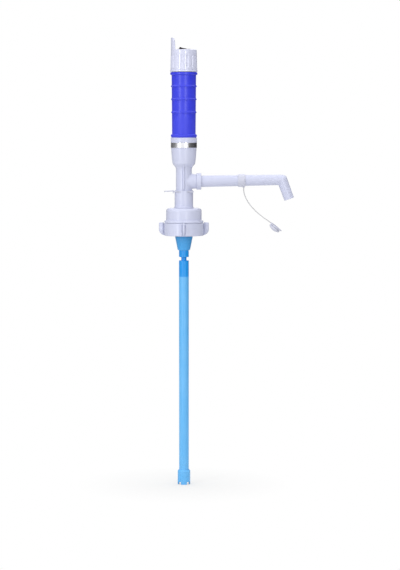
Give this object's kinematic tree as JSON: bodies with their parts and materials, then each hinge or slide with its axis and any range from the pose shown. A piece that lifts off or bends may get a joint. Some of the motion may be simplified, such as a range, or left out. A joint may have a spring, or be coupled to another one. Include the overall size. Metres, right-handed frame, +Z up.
{
  "type": "electric water jug pump",
  "caption": "Battery electric pump for a large water bottle: grip handle with rocker switch, swivel spout with tethered cap, neck clamp with wing ring, and a long dip tube.",
  "frame": {"origin": "on the pump's axis at the seat for the bottle's rim, which is the underside of the neck gasket", "axes": "+Z up along the pump's axis to the switch, +X along the spout, +Y away from the viewer of the picture"},
  "size_m": [0.2236, 0.0828, 0.7413],
  "materials": {
    "white_plastic": "smooth, slightly glossy cool white",
    "soft_white_plastic": "flexible, satin, milky",
    "seal_rubber": "matte",
    "blue_grip": "satin, soft grip",
    "chrome_band": "polished, unlettered",
    "sky_blue_plastic": "smooth, slightly translucent",
    "black_plastic": "fine texture",
    "contact_brass": "bright",
    "cell_jacket": "plain sleeve",
    "steel": "bright drawn",
    "lead_insulation": "matte"
  },
  "bodies": {
    "mount": {"neck_cup": "white_plastic", "neck_sleeve": "white_plastic", "neck_gasket": "seal_rubber", "grip_ring": "seal_rubber"},
    "wing_ring": {"wing_ring": "white_plastic"},
    "clip": {"lock_clip": "soft_white_plastic"},
    "pump": {"pump_body": "white_plastic", "swivel_seal": "seal_rubber", "battery_tube": "white_plastic", "grip_sleeve": "blue_grip", "trim_band": "chrome_band", "cap_seal": "seal_rubber", "bulkhead": "black_plastic", "lower_contact": "contact_brass", "contact_strip": "contact_brass", "cell_lower": "cell_jacket", "cell_upper": "cell_jacket", "motor_plate": "steel", "motor_can": "steel", "motor_end_cap": "black_plastic", "motor_terminals": "contact_brass", "motor_leads": "lead_insulation", "motor_screws": "steel", "shaft_seal": "seal_rubber", "seal_retainer": "steel", "intake_adapter": "sky_blue_plastic", "adapter_seal": "seal_rubber", "dip_tube": "sky_blue_plastic", "shaft_guides": "soft_white_plastic", "intake_foot": "sky_blue_plastic", "foot_bush": "soft_white_plastic"},
    "drive": {"motor_shaft": "steel", "shaft_coupling": "steel", "drive_shaft": "steel", "impeller": "soft_white_plastic"},
    "cap": {"switch_cap": "white_plastic", "switch_body": "black_plastic", "switch_terminals": "contact_brass", "cap_contact": "contact_brass", "battery_spring": "steel", "ring_contact": "contact_brass", "rocker_pin": "steel"},
    "rocker": {"switch_rocker": "black_plastic"},
    "nut": {"coupling_nut": "white_plastic"},
    "spout": {"spout_tube": "white_plastic", "spout_seal": "seal_rubber"},
    "tether": {"tether_ring": "soft_white_plastic", "tether": "soft_white_plastic", "spout_cap": "soft_white_plastic"}
  },
  "joints": [
    {"name": "ring_turn", "type": "hinge", "parent": "mount", "child": "wing_ring", "pos_m": [0, 0, -0.028], "axis": [0, 0, 1], "range_deg": [-360, 0]},
    {"name": "clip_pull", "type": "slide", "parent": "mount", "child": "clip", "axis": [-1, 0, 0], "range_m": [0, 0.04]},
    {"name": "pump_swivel", "type": "hinge", "parent": "mount", "child": "pump", "pos_m": [0, 0, 0.02], "axis": [0, 0, 1], "continuous": true},
    {"name": "drive_spin", "type": "hinge", "parent": "pump", "child": "drive", "pos_m": [0, 0, 0.07], "axis": [0, 0, 1], "continuous": true},
    {"name": "cap_turn", "type": "hinge", "parent": "pump", "child": "cap", "pos_m": [0, 0, 0.24], "axis": [0, 0, 1], "range_deg": [0, 360]},
    {"name": "switch_rock", "type": "hinge", "parent": "cap", "child": "rocker", "pos_m": [0, 0, 0.26655], "axis": [0, 1, 0], "range_deg": [-24, 0]},
    {"name": "nut_turn", "type": "hinge", "parent": "pump", "child": "nut", "pos_m": [0.024, 0, 0.0508], "axis": [1, 0, 0], "range_deg": [0, 360]},
    {"name": "spout_swivel", "type": "hinge", "parent": "pump", "child": "spout", "pos_m": [0.026, 0, 0.0508], "axis": [1, 0, 0], "range_deg": [-180, 180]},
    {"name": "tether_swing", "type": "hinge", "parent": "spout", "child": "tether", "pos_m": [0.09549, 0, 0.05214], "axis": [0.9998, 0, 0.0192], "range_deg": [-90, 90]}
  ]
}
